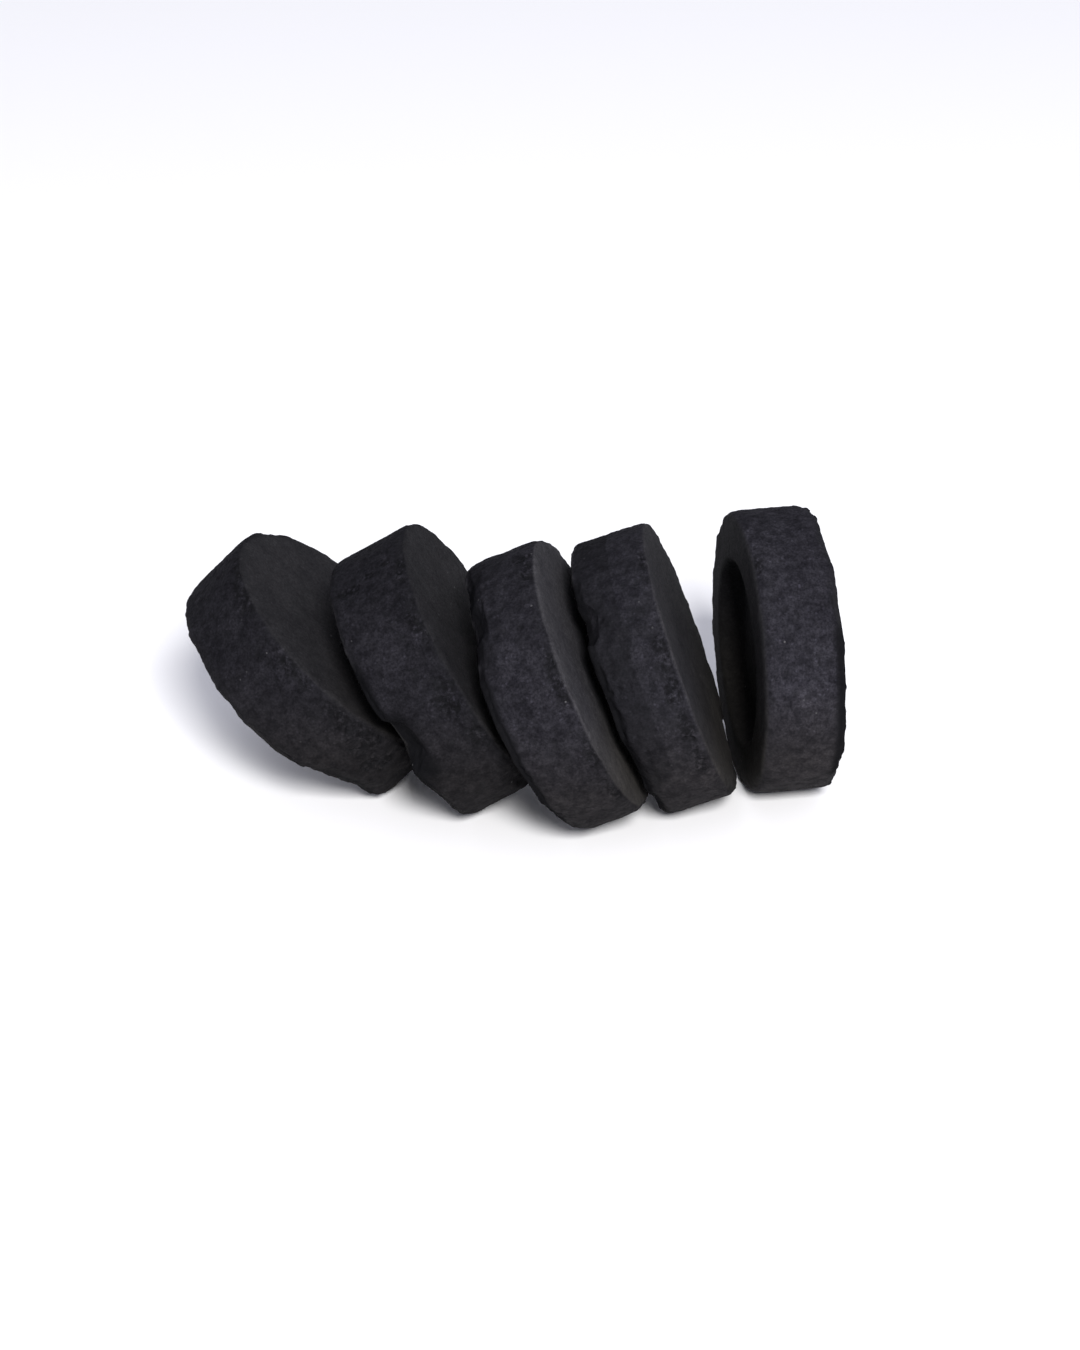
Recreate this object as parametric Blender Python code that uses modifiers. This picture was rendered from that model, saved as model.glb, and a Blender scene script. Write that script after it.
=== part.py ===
"""A short row of five pressed charcoal tablets that lean on each other on a flat surface.

Metres, +Z up. The row runs along X, and its origin is on the surface, under the middle of its box.
A clock angle goes round a standing tablet's rim: 0 at its top, 90 on its near side (-Y),
180 at its foot and 270 on its far side.
"""

import math

import bmesh
import bpy
from mathutils import Matrix, Vector, noise

MM = 0.001
DIAMETER = 40.0 * MM
DISH_EDGE_RADIUS = 1.2 * MM
BACK_EDGE_RADIUS = 0.8 * MM

# One face of each tablet is pressed into a shallow dish, inside a flat ring.
DISH_RADIUS = 13.6 * MM
DISH_DEPTH = 3.2 * MM
DISH_MOUTH_RADIUS = 0.8 * MM
DISH_FOOT_RADIUS = 2.0 * MM
DISH_DRAFT = math.radians(15)

ROUND_STEPS = 60
RIM_STEPS = 4
EDGE_STEPS = 3
DISH_ARC_STEPS = 2
SHARP_ANGLE = math.radians(50)

# The pressed dust is uneven by this much, in lumps of this size. The rim is the roughest, and its
# roughness fades out over the outermost tenth of the radius.
RIM_UNEVENNESS = 0.16 * MM
FACE_UNEVENNESS = 0.07 * MM
LUMP_SIZE = 3.5 * MM
RIM_SHARE = 0.1
LUMPS_APART = Vector((17, 5, 0))

# A tablet's lowest edge is worn flat over this height, where it stands.
FOOT_WEAR = 0.35 * MM

DISH_SIDE = 1
BACK_SIDE = -1

# Each tablet: its thickness in mm, its place along X and Y in mm, and how far it leans to -X and turns
# away from -Y, in degrees.
# Worn flats: clock angle, tilt of the flat towards the dish side in degrees, depth in mm.
# Bites out of the edge: clock angle, side, radius in mm, depth in mm.
TABLETS = {
    "tablet_1": {
        "thickness": 12.3,
        "place": (-29.98, 6.9),
        "lean": 47.0,
        "turn": 2.2,
        "flats": [(104, 45, 1.2), (124, 45, 2.2), (318, 40, 0.5), (106, -45, 1.2), (146, -48, 1.5),
                  (178, -45, 2.2), (205, -45, 2.4)],
        "bites": [(66, DISH_SIDE, 2.2, 0.5), (112, BACK_SIDE, 2.0, 0.6), (250, DISH_SIDE, 2.6, 0.8)],
    },
    "tablet_2": {
        "thickness": 12.5,
        "place": (-12.45, 0.6),
        "lean": 30.8,
        "turn": 0.6,
        "flats": [(15, 42, 0.4), (66, 45, 0.9), (82, 45, 1.1), (124, 48, 1.2), (240, 45, 0.8),
                  (144, -42, 1.8), (352, -45, 0.4)],
        "bites": [(88, DISH_SIDE, 5.0, 3.6), (72, DISH_SIDE, 5.0, 1.2), (96, BACK_SIDE, 2.4, 0.5),
                  (215, BACK_SIDE, 3.2, 1.1)],
    },
    "tablet_3": {
        "thickness": 11.5,
        "place": (3.55, -5.6),
        "lean": 24.6,
        "turn": 2.2,
        "flats": [(12, 45, 2.0), (32, 45, 1.9), (60, 45, 0.7), (84, 45, 1.0), (108, 45, 1.5), (132, 45, 1.8),
                  (154, 45, 1.8), (156, -42, 0.7), (186, -45, 1.2), (206, -45, 1.0)],
        "bites": [(28, DISH_SIDE, 4.3, 3.2), (166, BACK_SIDE, 2.0, 0.8), (285, BACK_SIDE, 2.8, 0.9)],
    },
    "tablet_4": {
        "thickness": 11.0,
        "place": (17.20, 0.0),
        "lean": 20.4,
        "turn": 0.2,
        "flats": [(6, 45, 0.6), (75, 45, 1.4), (105, 45, 1.7), (135, 45, 1.6), (178, 45, 0.9), (232, 40, 0.7),
                  (160, -45, 0.4), (203, -45, 1.2), (338, -45, 0.5)],
        "bites": [(38, DISH_SIDE, 3.8, 2.5), (158, DISH_SIDE, 1.8, 0.6), (300, BACK_SIDE, 2.2, 0.7)],
    },
    "tablet_5": {
        "thickness": 11.5,
        "place": (34.60, 6.5),
        "lean": 1.0,
        "turn": -8.6,
        "flats": [(352, 45, 0.5), (62, 45, 0.5), (90, 45, 0.6), (118, 45, 0.5), (270, 45, 0.8),
                  (15, -45, 1.0), (45, -45, 0.8), (128, -45, 0.6), (205, -40, 0.5)],
        "bites": [(100, BACK_SIDE, 2.0, 0.4), (136, BACK_SIDE, 1.8, 0.7), (264, BACK_SIDE, 3.0, 1.0)],
    },
}

CHARCOAL = (0.028, 0.028, 0.032)
CHARCOAL_TONES = (0.90, 1.00, 0.96, 1.08, 1.12)
ROUGHNESS = 0.92


def clear_scene():
    for obj in list(bpy.data.objects):
        bpy.data.objects.remove(obj, do_unlink=True)


def arc(centre, radius, first, last, steps):
    """Points of an arc in the profile's plane, from one angle to another, both in degrees."""
    points = []
    for step in range(steps + 1):
        angle = math.radians(first + (last - first) * step / steps)
        points.append((centre[0] + radius * math.cos(angle), centre[1] + radius * math.sin(angle)))
    return points


def dish_profile(half):
    """The pressed face, from its middle out to the ring: floor, foot fillet, wall and rounded mouth."""
    draft = math.degrees(DISH_DRAFT)
    floor = half - DISH_DEPTH
    foot_height = floor + DISH_FOOT_RADIUS
    mouth_height = half - DISH_MOUTH_RADIUS
    across = (DISH_FOOT_RADIUS + DISH_MOUTH_RADIUS) * math.cos(DISH_DRAFT)
    wall_rise = mouth_height - foot_height + (DISH_FOOT_RADIUS + DISH_MOUTH_RADIUS) * math.sin(DISH_DRAFT)
    foot_x = DISH_RADIUS - across - wall_rise * math.tan(DISH_DRAFT)
    foot = arc((foot_x, foot_height), DISH_FOOT_RADIUS, 270, 360 - draft, DISH_ARC_STEPS)
    mouth = arc((DISH_RADIUS, mouth_height), DISH_MOUTH_RADIUS, 180 - draft, 90, DISH_ARC_STEPS)
    return [(0, floor), (foot_x / 2, floor)] + foot + mouth


def tablet_profile(half):
    """Half of a tablet's section: from the middle of the dish, round the rim, to the middle of the back."""
    top = half - DISH_EDGE_RADIUS
    bottom = BACK_EDGE_RADIUS - half
    points = dish_profile(half)
    points += arc((DIAMETER / 2 - DISH_EDGE_RADIUS, top), DISH_EDGE_RADIUS, 90, 0, EDGE_STEPS)
    for step in range(1, RIM_STEPS):
        points.append((DIAMETER / 2, top + (bottom - top) * step / RIM_STEPS))
    points += arc((DIAMETER / 2 - BACK_EDGE_RADIUS, bottom), BACK_EDGE_RADIUS, 0, -90, EDGE_STEPS)
    points += [(DISH_RADIUS, -half), (DISH_RADIUS / 2, -half), (0, -half)]
    return points


def turned_mesh(name, half):
    """The profile turned about Z by a Screw modifier, as a plain mesh."""
    profile = bpy.data.meshes.new(name + "_profile")
    points = tablet_profile(half)
    edges = [(i, i + 1) for i in range(len(points) - 1)]
    profile.from_pydata([(x, 0, z) for x, z in points], edges, [])
    guide = bpy.data.objects.new(name + "_profile", profile)
    bpy.context.scene.collection.objects.link(guide)
    screw = guide.modifiers.new("Turn", "SCREW")
    screw.steps = ROUND_STEPS
    screw.render_steps = ROUND_STEPS
    screw.use_merge_vertices = True
    screw.merge_threshold = 0.01 * MM
    graph = bpy.context.evaluated_depsgraph_get()
    mesh = bpy.data.meshes.new_from_object(guide.evaluated_get(graph))
    mesh.name = name
    bpy.data.objects.remove(guide)
    return mesh


def rim_point(half, clock, side):
    """The sharp corner of the rim at a clock angle, and its outward direction."""
    angle = math.radians(clock)
    outward = Vector((math.cos(angle), -math.sin(angle), 0))
    return outward * DIAMETER / 2 + Vector((0, 0, side * half)), outward


def roughen(mesh, number):
    """Moves each point a little along its normal, more on the rim than on the two faces."""
    moved = []
    for vertex in mesh.vertices:
        inset = 1 - vertex.co.xy.length / (DIAMETER / 2)
        rim = min(1.0, max(0.0, 1 - inset / RIM_SHARE))
        height = FACE_UNEVENNESS + (RIM_UNEVENNESS - FACE_UNEVENNESS) * rim
        lump = noise.noise(vertex.co / LUMP_SIZE + LUMPS_APART * number)
        moved.append(vertex.co + vertex.normal * height * lump)
    for vertex, place in zip(mesh.vertices, moved):
        vertex.co = place


def wear_flat(mesh, half, clock, tilt, depth):
    """Presses the rim back to a plane that is turned from the rim towards one face."""
    tilt = math.radians(tilt)
    side = DISH_SIDE if tilt > 0 else BACK_SIDE
    corner, outward = rim_point(half, clock, side)
    normal = outward * math.cos(tilt) + Vector((0, 0, math.sin(tilt)))
    limit = corner.dot(normal) - depth * MM
    for vertex in mesh.vertices:
        past = vertex.co.dot(normal) - limit
        if past > 0:
            vertex.co -= normal * past


def bite_edge(mesh, half, clock, side, radius, depth):
    """Scoops a round bite out of the edge: points inside a ball move out to its surface."""
    corner, outward = rim_point(half, clock, side)
    away = (outward + Vector((0, 0, side))).normalized()
    centre = corner + away * (radius - depth) * MM
    for vertex in mesh.vertices:
        offset = vertex.co - centre
        if offset.length < radius * MM:
            vertex.co = centre + offset.normalized() * radius * MM


def stand(tablet, place, lean, turn):
    """Stands a tablet on its rim with its dish to -X, so that its lowest edge is just below the surface."""
    tablet.rotation_euler = (0, -math.radians(90 + lean), -math.radians(turn))
    turned = tablet.rotation_euler.to_matrix()
    lowest = min((turned @ vertex.co).z for vertex in tablet.data.vertices)
    tablet.location = (place[0] * MM, place[1] * MM, -lowest - FOOT_WEAR)


def wear_foot(tablet):
    """Brings what is below the surface up to it, which leaves the flat spot that the tablet rests on."""
    matrix = Matrix.LocRotScale(tablet.location, tablet.rotation_euler, None)
    inverse = matrix.inverted()
    for vertex in tablet.data.vertices:
        place = matrix @ vertex.co
        if place.z < 0:
            place.z = 0
            vertex.co = inverse @ place


def charcoal_material(name, tone):
    material = bpy.data.materials.new(name + "_charcoal")
    material.use_nodes = True
    shader = material.node_tree.nodes["Principled BSDF"]
    shader.inputs["Base Color"].default_value = (*(channel * tone for channel in CHARCOAL), 1)
    shader.inputs["Roughness"].default_value = ROUGHNESS
    shader.inputs["Metallic"].default_value = 0
    return material


def make_tablet(name, number, form, collection):
    half = form["thickness"] * MM / 2
    mesh = turned_mesh(name, half)
    roughen(mesh, number)
    for flat in form["flats"]:
        wear_flat(mesh, half, *flat)
    for bite in form["bites"]:
        bite_edge(mesh, half, *bite)
    tablet = bpy.data.objects.new(name, mesh)
    collection.objects.link(tablet)
    stand(tablet, form["place"], form["lean"], form["turn"])
    wear_foot(tablet)
    mesh.materials.append(charcoal_material(name, CHARCOAL_TONES[number]))
    mesh.shade_smooth()
    mesh.set_sharp_from_angle(angle=SHARP_ANGLE)
    return tablet


def triangulate(mesh):
    """Splits the uneven four-sided faces, so that every face is flat."""
    shape = bmesh.new()
    shape.from_mesh(mesh)
    bmesh.ops.triangulate(shape, faces=shape.faces)
    shape.to_mesh(mesh)
    shape.free()


def centre_on_origin(row, tablets):
    """Moves the row's empty so that the middle of the row's box is over the origin."""
    bpy.context.view_layer.update()
    corners = [tablet.matrix_world @ vertex.co for tablet in tablets for vertex in tablet.data.vertices]
    for axis in range(2):
        values = [corner[axis] for corner in corners]
        row.location[axis] -= (min(values) + max(values)) / 2


def main():
    clear_scene()
    collection = bpy.data.collections.new("charcoal_tablets")
    bpy.context.scene.collection.children.link(collection)
    row = bpy.data.objects.new("row", None)
    collection.objects.link(row)
    tablets = []
    for number, (name, form) in enumerate(TABLETS.items()):
        tablet = make_tablet(name, number, form, collection)
        triangulate(tablet.data)
        tablet.parent = row
        tablets.append(tablet)
    centre_on_origin(row, tablets)


main()
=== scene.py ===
"""The looks of a row of five pressed charcoal tablets: a fine mesh for each one, its material,
a pale floor, soft light and the camera. Metres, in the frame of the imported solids."""

import math

import bpy
import numpy as np
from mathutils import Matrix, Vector


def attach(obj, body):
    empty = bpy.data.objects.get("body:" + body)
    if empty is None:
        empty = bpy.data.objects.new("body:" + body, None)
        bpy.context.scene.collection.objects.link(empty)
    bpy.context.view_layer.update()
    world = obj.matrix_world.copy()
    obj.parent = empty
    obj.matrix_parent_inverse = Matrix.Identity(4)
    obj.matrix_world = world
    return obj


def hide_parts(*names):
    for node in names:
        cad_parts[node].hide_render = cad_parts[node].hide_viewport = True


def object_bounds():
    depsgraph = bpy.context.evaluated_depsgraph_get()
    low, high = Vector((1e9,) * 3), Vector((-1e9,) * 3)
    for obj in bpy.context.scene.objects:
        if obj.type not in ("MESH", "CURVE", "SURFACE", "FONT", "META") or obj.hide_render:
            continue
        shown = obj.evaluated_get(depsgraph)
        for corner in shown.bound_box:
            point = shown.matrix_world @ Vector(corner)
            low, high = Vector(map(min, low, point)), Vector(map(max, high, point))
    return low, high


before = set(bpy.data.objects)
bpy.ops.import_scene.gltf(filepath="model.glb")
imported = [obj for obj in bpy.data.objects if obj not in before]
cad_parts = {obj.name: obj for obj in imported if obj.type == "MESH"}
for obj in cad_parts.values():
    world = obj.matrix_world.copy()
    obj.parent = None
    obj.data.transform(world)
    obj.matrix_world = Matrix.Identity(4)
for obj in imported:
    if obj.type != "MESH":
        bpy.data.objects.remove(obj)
CAD_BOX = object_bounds()

MM = 0.001

# The tablets, as the solids have them.
RADIUS = 20.0 * MM
DISH_RADIUS = 13.6 * MM
DISH_DEPTH = 3.2 * MM

# The two sides of a tablet, along its axis.
DISH_SIDE = 1
BACK_SIDE = -1

# The fine meshes.
VOXEL = 0.25 * MM
SMOOTHING_ROUNDS = 3

# How far the grain may stand proud of the solid: a third of the smallest gap between two tablets.
PROUD = 0.1 * MM

# The sizes of what the surface is made of.
PATCH = 7 * MM
LUMP = 3.2 * MM
CLOD = 1.1 * MM
GRAIN = 0.55 * MM
PIT = 1.3 * MM
CRUMB = 1.0 * MM

# The sizes of what crumbles off the edges.
STRETCH = 8 * MM
WAVE = 4.5 * MM
CHUNK = 2.6 * MM
SCALLOP = 2.2 * MM
EDGE_CRUMB = 0.8 * MM

FACE_COLOUR = (0.0480, 0.0462, 0.0500)
RIM_COLOUR = (0.0440, 0.0414, 0.0515)
# Painted shade in part: the colour of the dark edges, for loose dust and for the shade of the gaps
# between tablets.
DUST_AND_PAINTED_SHADE = (0.003, 0.003, 0.0035)
# Painted shade: what is sunk is darkened towards this colour.
PAINTED_HOLLOW_SHADE = (0.008, 0.008, 0.009)
ASH = (0.10, 0.098, 0.10)

# Painted light: the lower half of the row is tinted a little warmer, for warm light bounced up from the
# floor.
PAINTED_BOUNCE_TINT = (0.98, 0.94, 0.80)
PAINTED_BOUNCE_FROM = 24 * MM
PAINTED_BOUNCE_TO = 12 * MM

# How the colour varies over the surface, from coarse to fine.
CLOUD_STOPS = [(0.36, (0.76, 0.76, 0.78)), (0.64, (1, 1, 1))]
MOTTLE_STOPS = [(0.38, (0.50, 0.50, 0.52)), (0.60, (1.06, 1.06, 1.06))]
GRAIN_STOPS = [(0.38, (0.42, 0.42, 0.44)), (0.62, (1, 1, 1))]

# Rough pits are dark, with paler grains in them.
GRIT_STOPS = [(0.43, (0.26, 0.26, 0.26)), (0.53, (0.85, 0.85, 0.85)), (0.63, (2.2, 2.2, 2.15))]

# Each tablet: how pale its rim, its two faces and the inside of its dish are, how far its two edges
# crumble in mm, and its marks. The paleness is in part painted light and shade: the rims grow paler
# towards the right of the row, where the light falls stronger, tablet_3's face is made paler against
# the shade that tablet_4 casts on it, and tablet_5's darker dish is painted shade in its hollow.
# A mark is a clock angle on the rim (0 at the top, 90 towards the camera), a height from the middle
# in mm, and the half width of both: pits are rough and dark; streaks are pale, rubbed, and along
# tablet_1's back edge a painted edge highlight. Dark stretches, on the edge by the dish or by the back,
# run from one clock angle to another and so many mm deep: there the crumbled edge is coloured dark, in
# part for loose dust and in part as painted shade of the gaps between tablets and of edges turned from
# the light.
LOOKS = {
    "tablet_1": {
        "rim": 0.31, "face": 0.43, "dish": 1.3, "dish_edge": 1.10, "back_edge": 1.00,
        "dark": [], "dark_back": [],
        "pits": [(33, -5.0, 14, 1.6), (70, -5.0, 12, 1.2), (100, -4.8, 13, 2.0), (114, -3.2, 10, 2.8),
                 (128, -1.2, 8, 2.6), (14, -5.4, 8, 1.0)],
        # Painted edge highlight: these pale streaks lie along tablet_1's back edge.
        "streaks_and_highlights": [(62, -6.2, 14, 0.7), (82, -6.0, 10, 0.6), (16, -6.2, 8, 0.6)],
    },
    "tablet_2": {
        "rim": 0.32, "face": 0.40, "dish": 1.3, "dish_edge": 0.60, "back_edge": 0.95,
        "dark": [(50, 118, 2.4), (74, 108, 5.6)], "dark_back": [],
        "pits": [(78, -4.2, 12, 2.4), (20, -5.4, 12, 1.3), (46, -5.2, 12, 1.5), (100, -4.8, 10, 1.3),
                 (17, 4.0, 2.5, 1.4), (18, 2.0, 2.2, 1.4), (15, -0.2, 2.2, 1.5), (12, -2.4, 2.2, 1.5)],
        "streaks_and_highlights": [(50, 0.3, 12, 1.6)],
    },
    "tablet_3": {
        "rim": 0.46, "face": 0.95, "dish": 1.3, "dish_edge": 0.60, "back_edge": 0.70,
        "dark": [(0, 48, 3.4), (48, 160, 2.2)], "dark_back": [],
        "pits": [(2, -3.6, 4, 1.8), (12, -4.6, 6, 1.4), (100, -4.8, 12, 1.3), (64, -4.8, 14, 1.1),
                 (122, -4.6, 9, 1.0)],
        "streaks_and_highlights": [(52, 0.8, 12, 1.8)],
    },
    "tablet_4": {
        "rim": 0.55, "face": 0.64, "dish": 1.3, "dish_edge": 0.60, "back_edge": 0.70,
        "dark": [(14, 158, 2.0)], "dark_back": [],
        "pits": [(62, -4.2, 12, 1.3), (80, -3.8, 10, 1.4), (98, -3.8, 10, 1.2), (114, -3.8, 9, 1.0),
                 (22, -4.9, 14, 0.9)],
        "streaks_and_highlights": [(28, 1.2, 12, 2.0)],
    },
    "tablet_5": {
        "rim": 0.60, "face": 0.39, "dish": 0.80, "dish_edge": 0.70, "back_edge": 1.10,
        "dark": [], "dark_back": [(56, 128, 2.2)],
        "pits": [(27, 4.9, 5, 0.8)],
        "streaks_and_highlights": [(84, 1.0, 10, 3.6), (9, 5.0, 3, 0.8), (100, 5.0, 2.4, 0.6)],
    },
}

FLOOR_COLOUR = (0.90, 0.89, 0.89, 1)
WORLD_COLOUR = (0.93, 0.95, 1.08, 1)
WORLD_STRENGTH = 0.56

# The lamp hangs in front, a little to the right, and points at the row.
KEY_PLACE = Vector((0.23, -1.355, 1.00))
KEY_AIM = Vector((0, 0, 0.02))
KEY_SIZE = 0.4
KEY_POWER = 46.0

# The camera, as fitted to the photograph's outlines.
CAMERA_TARGET = Vector((3.84, -0.59, 18.885)) * MM
CAMERA_ELEVATION = math.radians(26.08)
CAMERA_DISTANCE = 0.5184
PHOTO_HEIGHT_PX = 1350
FOCAL_PX = 3728.6
SENSOR_MM = 36


def smoothstep(low, high, value):
    """0 below low, 1 above high, and a soft rise from one to the other."""
    share = np.clip((value - low) / (high - low), 0, 1)
    return share * share * (3 - 2 * share)


def hashed(cells, seed):
    """A random number from 0 to 1 for each whole-numbered cell."""
    cells = cells.astype(np.int64)
    mixed = cells[..., 0] * 73856093 ^ cells[..., 1] * 19349663
    mixed = mixed ^ cells[..., 2] * 83492791 ^ seed * 2654435761
    mixed = (mixed ^ (mixed >> 15)) * 2246822519 & 0xFFFFFFFF
    mixed = (mixed ^ (mixed >> 13)) * 3266489917 & 0xFFFFFFFF
    return ((mixed ^ (mixed >> 16)) & 0xFFFFFF) / 0xFFFFFF


def value_noise(points, size, seed):
    """Smooth noise from -1 to 1, whose lumps are about this size."""
    scaled = points / size
    cell = np.floor(scaled)
    share = scaled - cell
    share = share * share * (3 - 2 * share)
    total = np.zeros(len(points))
    for corner in np.ndindex(2, 2, 2):
        weight = np.prod(np.where(corner, share, 1 - share), axis=1)
        total += weight * hashed(cell + corner, seed)
    return total * 2 - 1


def layered_noise(points, size, seed, layers=3):
    """Noise with finer and weaker layers on it, from about -1 to 1."""
    total = np.zeros(len(points))
    reach = 0
    for layer in range(layers):
        strength = 0.5 ** layer
        total += strength * value_noise(points, size / 2 ** layer, seed + layer)
        reach += strength
    return total / reach


def grains(points, size, seed, share=1.0):
    """Round grains, one in a cell: 1 at a grain's middle, 0 between grains. Some cells stay empty."""
    scaled = points / size
    cell = np.floor(scaled)
    far = 9.0
    nearest = np.full(len(points), far)
    for step in np.ndindex(3, 3, 3):
        here = cell + np.array(step) - 1
        middle = here + np.stack([hashed(here, seed + axis) for axis in range(3)], axis=1)
        away = np.linalg.norm(scaled - middle, axis=1)
        away = np.where(hashed(here, seed + 3) < share, away, far)
        nearest = np.minimum(nearest, away)
    return np.clip(1 - nearest, 0, 1)


def points_of(mesh):
    points = np.empty(len(mesh.vertices) * 3)
    mesh.vertices.foreach_get("co", points)
    return points.reshape(-1, 3)


def normals_of(mesh):
    normals = np.empty(len(mesh.vertices) * 3)
    mesh.vertex_normals.foreach_get("vector", normals)
    return normals.reshape(-1, 3)


def dish_axis(mesh):
    """A tablet's middle, its axis, which points out of its dish to -X, and half its thickness."""
    points = points_of(mesh)
    facets = np.array([polygon.normal * polygon.area for polygon in mesh.polygons])
    areas = np.linalg.norm(facets, axis=1)
    axis = np.linalg.eigh(np.cov((points - points.mean(0)).T))[1][:, 0]
    if axis[0] > 0:
        axis = -axis
    for _ in range(3):
        back = facets @ axis < -0.98 * areas
        axis = -facets[back].sum(0)
        axis = axis / np.linalg.norm(axis)
    height = points @ axis
    top = height.max()
    floor = points[np.abs(height - (top - DISH_DEPTH)) < 0.12 * DISH_DEPTH]
    half = (top - height.min()) / 2
    middle = floor.mean(0)
    middle = middle + axis * (top - half - middle @ axis)
    return middle, axis, half


class Place:
    """Where each point lies on its tablet: height along the axis, radius, and clock angle in degrees."""

    def __init__(self, points, normals, middle, axis, half):
        offset = points - middle
        self.half = half
        self.height = offset @ axis
        flat = offset - np.outer(self.height, axis)
        self.radius = np.linalg.norm(flat, axis=1)
        up = np.array([0, 0, 1.0])
        up = up - axis * axis[2]
        up = up / np.linalg.norm(up)
        near = np.cross(axis, up)
        near = near if near[1] < 0 else -near
        self.clock = np.degrees(np.arctan2(flat @ near, flat @ up)) % 360
        slope = np.abs(normals @ axis)
        self.on_dish_side = self.height > 0
        self.in_dish = 1 - smoothstep(DISH_RADIUS, DISH_RADIUS + 1.0 * MM, self.radius)
        self.in_dish = self.in_dish * self.on_dish_side
        self.outer = smoothstep(RADIUS - 4.5 * MM, RADIUS - 2.5 * MM, self.radius)
        self.rim = self.outer * (1 - smoothstep(0.55, 0.9, slope))
        deep = smoothstep(RADIUS - 7.5 * MM, RADIUS - 6.0 * MM, self.radius)
        self.bitten = deep * (1 - smoothstep(0.80, 0.95, slope))
        lost = np.minimum(RADIUS - self.radius, half - np.abs(self.height))
        self.chipped = smoothstep(0.35 * MM, 0.8 * MM, lost) * self.outer

    def edge(self, side, width):
        """1 on the sharp corner of the rim on one side, falling to 0 away from it."""
        away = np.hypot(self.radius - RADIUS, self.height - side * self.half)
        return np.exp(-(away / width) ** 2)

    def dark_edge(self, stretches, side):
        """1 on the edge of one side along these stretches of the clock, falling to 0 away from it."""
        total = np.zeros(len(self.clock))
        clock = (self.clock + 20) % 360 - 20
        soft = 5
        for first, last, depth in stretches:
            begun = smoothstep(first - soft, first + soft, clock)
            ended = smoothstep(last - soft, last + soft, clock)
            below = (self.half - side * self.height) / (depth * MM)
            total = np.maximum(total, begun * (1 - ended) * (1 - smoothstep(0.5, 1.0, below)))
        return total * np.maximum(self.outer, self.bitten)

    def marks(self, places):
        """1 in the middle of each mark on the rim, falling to 0 away from it."""
        total = np.zeros(len(self.clock))
        for clock, height, width, tall in places:
            along = ((self.clock - clock + 180) % 360 - 180) / width
            across = (self.height / MM - height) / tall
            total = np.maximum(total, np.exp(-along ** 2 - across ** 2))
        return total * self.rim


def broken(marks, points, seed):
    """The same marks with ragged outlines."""
    return smoothstep(0.25, 0.80, marks * (1 + 1.1 * layered_noise(points, 1.4 * MM, seed + 31)))


def pressed_dust(points, place, pitted, seed):
    """How far the surface is sunk below the solid's, in mm: the grain of pressed charcoal dust."""
    rough = np.maximum(place.rim, place.chipped)
    patches = smoothstep(-0.1, 0.5, layered_noise(points, PATCH, seed + 11))
    lumps = 0.5 + 0.5 * layered_noise(points, LUMP, seed + 1)
    clods = 1 - grains(points, CLOD, seed + 2)
    fine = 1 - grains(points, GRAIN, seed + 6)
    pits = smoothstep(0.45, 0.85, grains(points, PIT, seed + 12, share=0.35))
    crumbs = smoothstep(-0.1, 0.5, layered_noise(points, CRUMB, seed + 15))
    sunk = (0.03 + 0.09 * rough) * lumps
    sunk += (0.02 + 0.07 * rough + 0.10 * place.chipped) * clods
    sunk += (0.025 + 0.055 * rough) * fine
    sunk += (0.04 + 0.22 * rough * (0.4 + 0.6 * patches)) * pits
    sunk += (0.06 + 0.5 * crumbs) * pitted
    return sunk


def crumbled_edges(points, place, look, seed):
    """How far the two edges of the rim are crumbled away, in mm."""
    scallops = smoothstep(-0.2, 0.5, layered_noise(points, SCALLOP, seed + 21))
    stretches = 0.3 + 0.7 * smoothstep(-0.3, 0.4, value_noise(points, STRETCH, seed + 22))
    crumbs = grains(points, EDGE_CRUMB, seed + 23, share=0.7)
    waves = smoothstep(-0.2, 0.7, value_noise(points, WAVE, seed + 25))
    chunks = smoothstep(0.25, 0.45, grains(points, CHUNK, seed + 27, share=0.6))
    lost = (0.35 * scallops + 0.25 * waves + 0.15 * crumbs + 0.45 * chunks) * stretches
    by_dish = np.maximum(place.edge(DISH_SIDE, 1.5 * MM), 0.6 * place.chipped * place.on_dish_side)
    by_back = np.maximum(place.edge(BACK_SIDE, 1.2 * MM), 0.5 * place.chipped * ~place.on_dish_side)
    return (by_dish * look["dish_edge"] + by_back * look["back_edge"]) * lost


def dust_and_painted_shade(place, look, rubbed_and_highlit):
    """1 where the edges are coloured dark: along the listed stretches, in chips by the dish and along the
    back's edge. In part this is loose dust, and in part painted shade of the gaps between tablets, of
    chips and of edges turned from the light.
    """
    by_dish = place.dark_edge(look["dark"], DISH_SIDE)
    by_back = place.dark_edge(look["dark_back"], BACK_SIDE)
    in_chips = 0.5 * place.chipped * place.on_dish_side
    # Painted shade along the back's edge, except under the pale streaks.
    along_back = 0.3 * place.edge(BACK_SIDE, 0.7 * MM) * (1 - rubbed_and_highlit)
    return np.maximum.reduce([by_dish, by_back, in_chips, along_back])


def fine_mesh(node):
    """The node's form as an even fine mesh."""
    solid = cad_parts[node]
    piece = bpy.data.objects.new(node + "_charcoal", solid.data.copy())
    bpy.context.scene.collection.objects.link(piece)
    remesh = piece.modifiers.new("Even", "REMESH")
    remesh.mode = "VOXEL"
    remesh.voxel_size = VOXEL
    remesh.use_smooth_shade = True
    smooth = piece.modifiers.new("Soften", "SMOOTH")
    smooth.factor = 0.5
    smooth.iterations = SMOOTHING_ROUNDS
    graph = bpy.context.evaluated_depsgraph_get()
    mesh = bpy.data.meshes.new_from_object(piece.evaluated_get(graph))
    piece.modifiers.clear()
    coarse = piece.data
    piece.data = mesh
    bpy.data.meshes.remove(coarse)
    mesh.name = piece.name
    return piece


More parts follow.
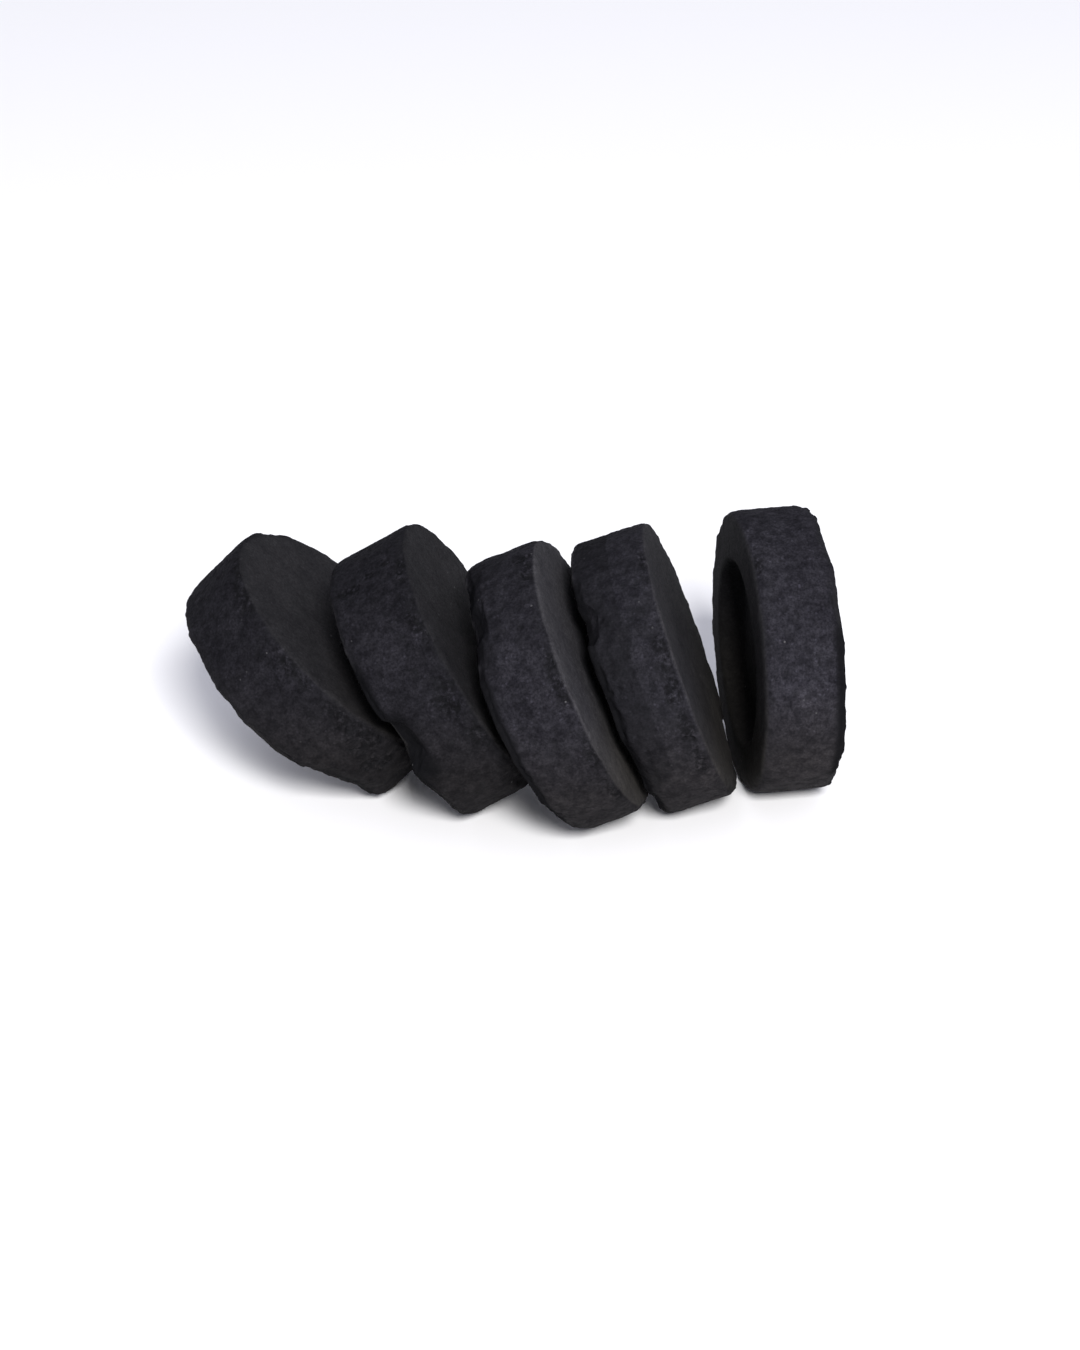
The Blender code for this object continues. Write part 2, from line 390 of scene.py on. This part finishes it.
def add_grain(piece, node, seed):
    """Sinks the surface into the grain of pressed dust, and notes for the material what lies where."""
    middle, axis, half = dish_axis(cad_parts[node].data)
    look = LOOKS[node]
    mesh = piece.data
    points = points_of(mesh)
    normals = normals_of(mesh)
    place = Place(points, normals, middle, axis, half)
    pitted = broken(place.marks(look["pits"]), points, seed)
    rubbed_and_highlit = place.marks(look["streaks_and_highlights"])
    sunk = pressed_dust(points, place, pitted, seed) + crumbled_edges(points, place, look, seed)
    inward = np.maximum((sunk - np.median(sunk)) * MM, -PROUD)
    moved = points - normals * inward[:, None]
    moved = np.clip(moved, CAD_BOX[0], CAD_BOX[1])
    mesh.vertices.foreach_set("co", moved.ravel())
    mesh.update()
    fields = {
        "sunk": sunk,
        "rim": np.maximum(place.rim, place.chipped),
        "pitted": pitted,
        "rubbed_and_highlit": rubbed_and_highlit,
        "dark": dust_and_painted_shade(place, look, rubbed_and_highlit),
        "dish": place.in_dish,
    }
    for name, values in fields.items():
        field = mesh.attributes.new(name, "FLOAT", "POINT")
        field.data.foreach_set("value", values)
    mesh.shade_smooth()


class Nodes:
    """Short calls for making a material's nodes."""

    def __init__(self, material):
        material.use_nodes = True
        self.tree = material.node_tree
        self.shader = self.tree.nodes["Principled BSDF"]

    def link(self, output, target):
        self.tree.links.new(output, target)

    def add(self, kind, **settings):
        node = self.tree.nodes.new(kind)
        for name, value in settings.items():
            setattr(node, name, value)
        return node

    def field(self, name):
        """One of the mesh's fields."""
        return self.add("ShaderNodeAttribute", attribute_name=name).outputs["Fac"]

    def noise(self, where, size, detail=3, roughness=0.6):
        node = self.add("ShaderNodeTexNoise")
        node.inputs["Scale"].default_value = 1 / size
        node.inputs["Detail"].default_value = detail
        node.inputs["Roughness"].default_value = roughness
        self.link(where, node.inputs["Vector"])
        return node.outputs["Fac"]

    def cells(self, where, size):
        """The distance to the middle of the nearest cell, and that cell's random number."""
        node = self.add("ShaderNodeTexVoronoi", feature="F1")
        node.inputs["Scale"].default_value = 1 / size
        self.link(where, node.inputs["Vector"])
        parts = self.add("ShaderNodeSeparateColor")
        self.link(node.outputs["Color"], parts.inputs["Color"])
        return node.outputs["Distance"], parts.outputs["Red"]

    def ramp(self, value, stops):
        node = self.add("ShaderNodeValToRGB")
        ramp = node.color_ramp
        while len(ramp.elements) < len(stops):
            ramp.elements.new(0.5)
        for element, (place, colour) in zip(ramp.elements, stops):
            element.position = place
            element.color = (*colour, 1)
        self.link(value, node.inputs["Fac"])
        return node.outputs["Color"]

    def span(self, value, low, high, to_low=0.0, to_high=1.0):
        node = self.add("ShaderNodeMapRange")
        limits = {"From Min": low, "From Max": high, "To Min": to_low, "To Max": to_high}
        for name, number in limits.items():
            node.inputs[name].default_value = number
        self.link(value, node.inputs["Value"])
        return node.outputs["Result"]

    def maths(self, operation, first, second):
        node = self.add("ShaderNodeMath", operation=operation)
        for socket, value in zip(node.inputs, (first, second)):
            self.fill(socket, value)
        return node.outputs["Value"]

    def times(self, first, second):
        return self.maths("MULTIPLY", first, second)

    def mix(self, factor, first, second, blend="MIX"):
        node = self.add("ShaderNodeMix", data_type="RGBA", blend_type=blend)
        for name, value in (("Factor_Float", factor), ("A_Color", first), ("B_Color", second)):
            self.fill(next(s for s in node.inputs if s.identifier == name), value)
        return next(s for s in node.outputs if s.identifier == "Result_Color")

    def tinted(self, colour, tint):
        return self.mix(1.0, colour, tint, "MULTIPLY")

    def fill(self, socket, value):
        """Sets a number or a colour, or links another node's output."""
        if isinstance(value, (int, float)):
            socket.default_value = value
        elif isinstance(value, tuple):
            socket.default_value = (*value, 1)
        else:
            self.link(value, socket)


def charcoal_material(name, look):
    """Matte pressed charcoal: dark grains, paler faces, rubbed streaks and a painted edge highlight, dark
    edges of loose dust and painted shade, painted shade in hollows, a painted warm bounce low down, and a
    few specks of ash.
    """
    material = bpy.data.materials.new(name)
    nodes = Nodes(material)
    where = nodes.add("ShaderNodeTexCoord").outputs["Object"]
    rim = nodes.field("rim")
    pitted = nodes.field("pitted")
    dark = nodes.field("dark")

    # The plain colour: the rim, the faces, the inside of the dish, and the warmer lower half, which is
    # painted bounce light from the floor.
    # Painted light and shade in part: these tones per tablet follow how strongly each tablet is lit.
    face = tuple(channel * look["face"] for channel in FACE_COLOUR)
    band = tuple(channel * look["rim"] for channel in RIM_COLOUR)
    base = nodes.mix(rim, face, band)
    apart = nodes.add("ShaderNodeSeparateXYZ")
    nodes.link(where, apart.inputs["Vector"])
    # Painted light: warmer towards the bottom, for light bounced up from the floor.
    low = nodes.span(apart.outputs["Z"], PAINTED_BOUNCE_FROM, PAINTED_BOUNCE_TO)
    base = nodes.mix(low, base, nodes.tinted(base, PAINTED_BOUNCE_TINT))
    # Painted shade: tablet_5's dish is darkened inside its hollow.
    base = nodes.mix(nodes.field("dish"), base, nodes.tinted(base, (look["dish"],) * 3))

    # Clouds, mottles and grains, coarser and stronger on the rim than on the faces.
    clouds = nodes.noise(where, 6 * MM)
    base = nodes.tinted(base, nodes.ramp(clouds, CLOUD_STOPS))
    mottle = nodes.noise(where, 1.5 * MM, detail=4, roughness=0.7)
    mottled = nodes.tinted(base, nodes.ramp(mottle, MOTTLE_STOPS))
    base = nodes.mix(nodes.span(rim, 0, 1, 0.35, 1.0), base, mottled)
    grain = nodes.noise(where, 0.36 * MM, detail=3, roughness=0.8)
    grainy = nodes.tinted(base, nodes.ramp(grain, GRAIN_STOPS))
    coarse = nodes.times(nodes.span(rim, 0, 1, 0.6, 1.0), nodes.span(low, 0, 1, 1.0, 0.65))
    base = nodes.mix(coarse, base, grainy)
    away, chance = nodes.cells(where, 0.55 * MM)
    crumb = nodes.times(nodes.span(away, 0.15, 0.42, 1.0, 0.0), nodes.span(chance, 0.45, 1.0))
    base = nodes.mix(nodes.times(crumb, coarse), base, nodes.tinted(base, (1.7, 1.7, 1.75)))

    # The marks: gritty pits, pale rubbed streaks and a painted edge highlight, dark edges of loose dust
    # and painted shade, and painted shade in what is sunk.
    grit = nodes.ramp(nodes.noise(where, 0.8 * MM, detail=4, roughness=0.75), GRIT_STOPS)
    base = nodes.mix(pitted, base, nodes.tinted(base, grit))
    # Pale streaks: rubbed, and along tablet_1's back edge a painted edge highlight.
    rubbed_and_highlit = nodes.times(nodes.field("rubbed_and_highlit"), nodes.span(nodes.noise(where, 1.6 * MM), 0.35, 0.65))
    base = nodes.mix(nodes.times(rubbed_and_highlit, 0.9), base, nodes.tinted(base, (1.5, 1.5, 1.5)))
    # Painted shade in part: the dark edges, for loose dust and for the shade of gaps, chips and edges
    # turned from the light.
    base = nodes.mix(nodes.times(dark, 0.9), base, DUST_AND_PAINTED_SHADE)
    # Painted shade: the deeper the surface is sunk, the darker.
    hollow_shade = nodes.span(nodes.field("sunk"), 0.08, 0.4)
    base = nodes.mix(nodes.times(hollow_shade, 0.45), base, PAINTED_HOLLOW_SHADE)

    # A few pale specks of ash, in clusters.
    away, chance = nodes.cells(where, 0.9 * MM)
    near = nodes.span(away, 0.10, 0.22, 1.0, 0.0)
    few = nodes.span(chance, 0.965, 0.99)
    clustered = nodes.span(nodes.noise(where, 5 * MM), 0.42, 0.6, 0.15, 1.0)
    speck = nodes.times(nodes.times(near, few), clustered)
    base = nodes.mix(nodes.times(speck, 0.8), base, ASH)
    nodes.link(base, nodes.shader.inputs["Base Color"])

    # Hardly any shine, and none on the dark edges of loose dust and painted shade.
    nodes.link(nodes.span(grain, 0.3, 0.7, 0.95, 0.72), nodes.shader.inputs["Roughness"])
    dull = nodes.maths("MAXIMUM", dark, nodes.times(pitted, 0.2))
    nodes.link(nodes.span(dull, 0, 1, 0.05, 0.01), nodes.shader.inputs["Specular IOR Level"])

    tiny = nodes.noise(where, 0.22 * MM, detail=3, roughness=0.7)
    bump = nodes.add("ShaderNodeBump")
    bump.inputs["Strength"].default_value = 0.7
    bump.inputs["Distance"].default_value = 0.06 * MM
    nodes.link(nodes.maths("ADD", tiny, grain), bump.inputs["Height"])
    nodes.link(bump.outputs["Normal"], nodes.shader.inputs["Normal"])
    return material


def make_tablets():
    for number, node in enumerate(sorted(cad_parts)):
        piece = fine_mesh(node)
        add_grain(piece, node, seed=100 * (number + 1))
        piece.data.materials.clear()
        piece.data.materials.append(charcoal_material(piece.name, LOOKS[node]))
        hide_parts(node)
        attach(piece, "root")


def make_floor():
    bpy.ops.mesh.primitive_plane_add(size=8, location=(0, 0, 0))
    floor = bpy.context.object
    floor.name = "floor"
    material = bpy.data.materials.new("floor")
    nodes = Nodes(material)
    nodes.shader.inputs["Base Color"].default_value = FLOOR_COLOUR
    nodes.shader.inputs["Roughness"].default_value = 0.6
    floor.data.materials.append(material)


def make_light():
    world = bpy.data.worlds.new("studio")
    bpy.context.scene.world = world
    world.use_nodes = True
    background = world.node_tree.nodes["Background"]
    background.inputs["Color"].default_value = WORLD_COLOUR
    background.inputs["Strength"].default_value = WORLD_STRENGTH
    data = bpy.data.lights.new("key", "AREA")
    data.shape = "SQUARE"
    data.size = KEY_SIZE
    data.energy = KEY_POWER
    light = bpy.data.objects.new("key", data)
    light.location = KEY_PLACE
    light.rotation_euler = (KEY_AIM - KEY_PLACE).to_track_quat("-Z", "Y").to_euler()
    bpy.context.scene.collection.objects.link(light)


def make_camera():
    data = bpy.data.cameras.new("camera")
    data.sensor_fit = "VERTICAL"
    data.sensor_height = SENSOR_MM
    data.lens = FOCAL_PX / PHOTO_HEIGHT_PX * SENSOR_MM
    camera = bpy.data.objects.new("camera", data)
    forward = Vector((0, math.cos(CAMERA_ELEVATION), -math.sin(CAMERA_ELEVATION)))
    camera.location = CAMERA_TARGET - forward * CAMERA_DISTANCE
    camera.rotation_euler = forward.to_track_quat("-Z", "Y").to_euler()
    bpy.context.scene.collection.objects.link(camera)
    bpy.context.scene.camera = camera


make_camera()
make_tablets()
make_floor()
make_light()
bpy.context.scene.view_settings.view_transform = "Standard"
